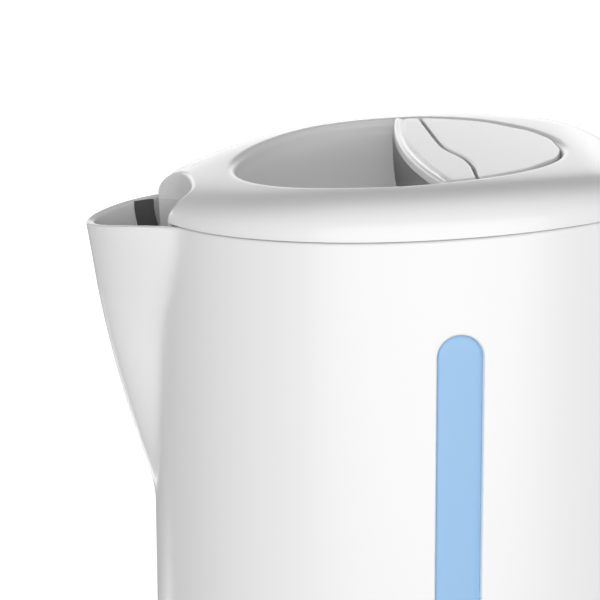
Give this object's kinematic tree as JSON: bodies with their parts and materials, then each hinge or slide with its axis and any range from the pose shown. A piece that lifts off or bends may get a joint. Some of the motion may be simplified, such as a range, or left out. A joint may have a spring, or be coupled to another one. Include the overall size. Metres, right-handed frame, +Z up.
{
  "type": "electric kettle",
  "caption": "Cordless oval jug kettle with V spout, hinged lid with pull lever and latch bolts, water windows, loop handle, filter and power base.",
  "frame": {"origin": "centre line of the power base, on the surface that its rubber feet stand on", "axes": "+Z up; +X from the spout towards the handle; +Y completes the right hand, and the X-Z plane is the plane of symmetry"},
  "size_m": [0.2208, 0.1294, 0.2074],
  "materials": {
    "gloss_white": "glossy white polypropylene moulding",
    "inner_white": "satin off-white plastic inner moulding",
    "blue_clear": "translucent light blue window plastic",
    "dark_plastic": "dark grey heat-proof plastic",
    "steel": "brushed stainless steel plate",
    "zinc": "bright plated steel",
    "element": "dull oxidised heater sheath",
    "brass_parts": "plain brass",
    "seal": "light grey silicone rubber",
    "foot_rubber": "dark rubber",
    "amber": "amber neon lamp glass"
  },
  "bodies": {
    "base": {"base_lower_cover": "inner_white", "base_upper_shell": "gloss_white", "base_feet": "foot_rubber", "base_connector": "dark_plastic", "base_contacts": "brass_parts", "base_screws": "zinc", "cord_gland": "dark_plastic"},
    "kettle_plug": {"kettle_connector": "dark_plastic", "connector_springs": "brass_parts"},
    "kettle": {"body_shell": "gloss_white", "water_window_near": "blue_clear", "water_window_far": "blue_clear", "heating_plate": "steel", "plate_seal": "seal", "heating_element": "element", "bottom_cover": "inner_white", "bottom_screws": "zinc", "thermostat_control": "dark_plastic", "bimetal_disc": "brass_parts", "switch_pin": "zinc", "indicator_lamp": "amber", "steam_tube": "inner_white", "handle_inner": "gloss_white", "handle_outer": "gloss_white", "handle_screws": "zinc", "rear_bridge": "gloss_white", "hinge_pin": "zinc"},
    "switch": {"switch_lever": "gloss_white"},
    "filter": {"filter_frame": "inner_white", "filter_mesh": "steel"},
    "lid": {"lid_cover": "gloss_white", "lid_inner_tub": "inner_white", "lid_seal": "seal", "lid_panel": "gloss_white", "lid_screws": "zinc", "lever_pin": "zinc", "lever_spring": "zinc", "bolt_springs": "zinc"},
    "lever": {"release_lever": "gloss_white"},
    "bolt_near": {"latch_bolt_near": "inner_white"},
    "bolt_far": {"latch_bolt_far": "inner_white"}
  },
  "joints": [
    {"name": "kettle_lift", "type": "slide", "parent": "base", "child": "kettle_plug", "axis": [0, 0, 1], "range_m": [0, 0.12]},
    {"name": "kettle_swivel", "type": "hinge", "parent": "kettle_plug", "child": "kettle", "pos_m": [0, 0, 0.03], "axis": [0, 0, 1], "continuous": true},
    {"name": "lid_hinge", "type": "hinge", "parent": "kettle", "child": "lid", "pos_m": [0.05977, 0, 0.20203], "axis": [0, 1, 0], "range_deg": [0, 80]},
    {"name": "lever_pull", "type": "hinge", "parent": "lid", "child": "lever", "pos_m": [0.00365, 0, 0.20309], "axis": [0, 1, 0], "range_deg": [0, 12], "stiffness_Nm_per_rad": 0.05, "springref_deg": -17.19},
    {"name": "bolt_near_slide", "type": "slide", "parent": "lid", "child": "bolt_near", "axis": [0, 1, 0], "range_m": [0, 0.003]},
    {"name": "bolt_far_slide", "type": "slide", "parent": "lid", "child": "bolt_far", "axis": [0, -1, 0], "range_m": [0, 0.003]},
    {"name": "switch_press", "type": "hinge", "parent": "kettle", "child": "switch", "pos_m": [0.06, 0, 0.038], "axis": [0, 1, 0], "range_deg": [0, 12]},
    {"name": "filter_slide", "type": "slide", "parent": "kettle", "child": "filter", "axis": [0.9987, 0, 0.0506], "range_m": [0, 0.015]}
  ],
  "couplings": [
    {"joint": "bolt_near_slide", "follows": "lever_pull", "m_per_rad": 0.01431},
    {"joint": "bolt_far_slide", "follows": "lever_pull", "m_per_rad": 0.01431}
  ]
}
